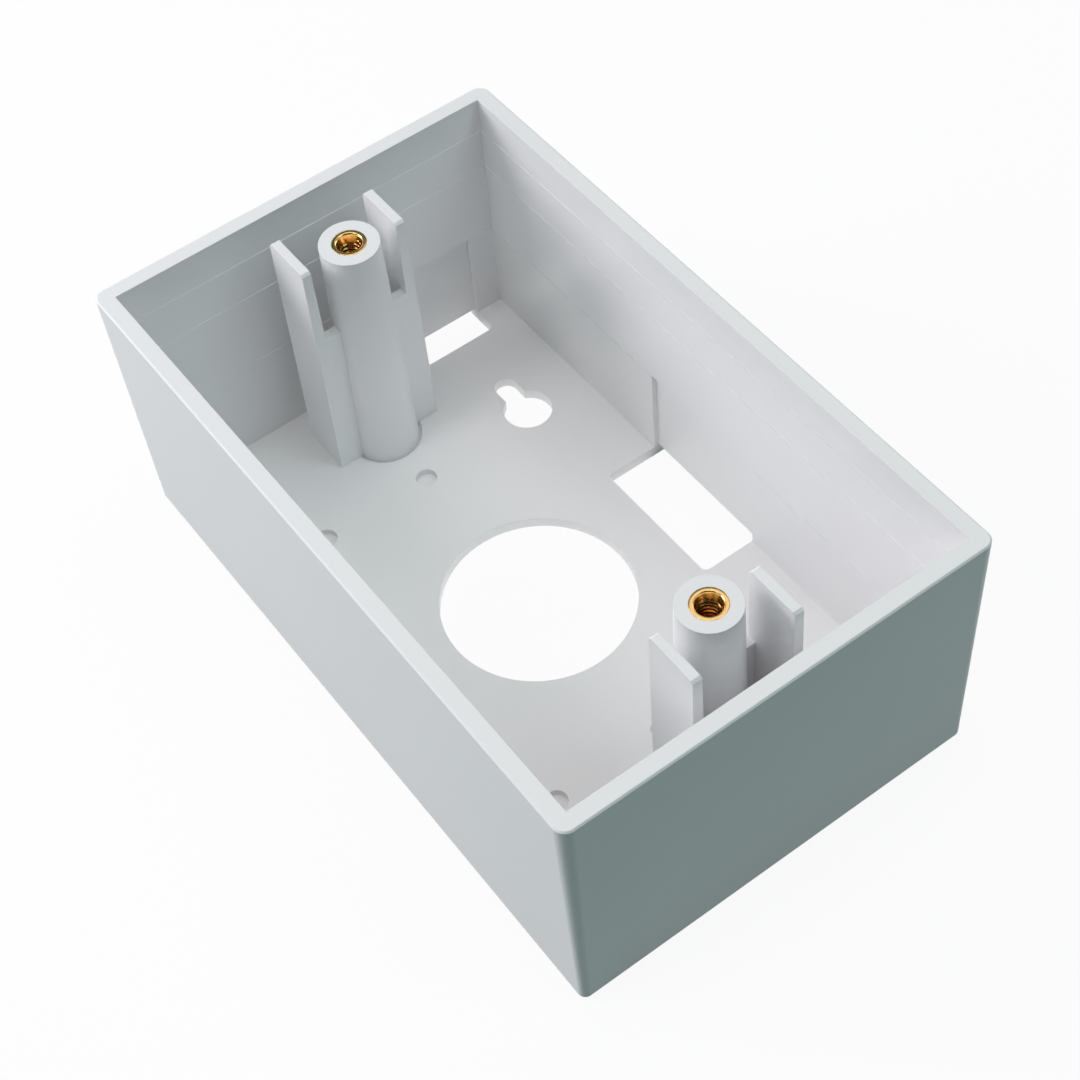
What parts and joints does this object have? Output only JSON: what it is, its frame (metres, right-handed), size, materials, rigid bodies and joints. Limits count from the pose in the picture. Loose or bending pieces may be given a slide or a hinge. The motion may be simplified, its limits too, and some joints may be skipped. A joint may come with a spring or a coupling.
{
  "type": "modular wall box",
  "caption": "Open moulded surface wall box with tapered screw bosses, stiffening fins, brass threaded inserts, a round cable hole, a keyhole and side cable entries.",
  "frame": {"origin": "middle of the box's back, on the plane that lies against the wall", "axes": "+X across the box towards its long wall with the cable entry, +Y up the box towards the narrow end of the keyhole, +Z out of the wall towards the open side"},
  "size_m": [0.0694, 0.1142, 0.0456],
  "materials": {
    "moulding": "satin",
    "insert_brass": "polished"
  },
  "bodies": {
    "root": {"wall_box": "moulding", "upper_insert": "insert_brass", "lower_insert": "insert_brass"}
  },
  "joints": []
}
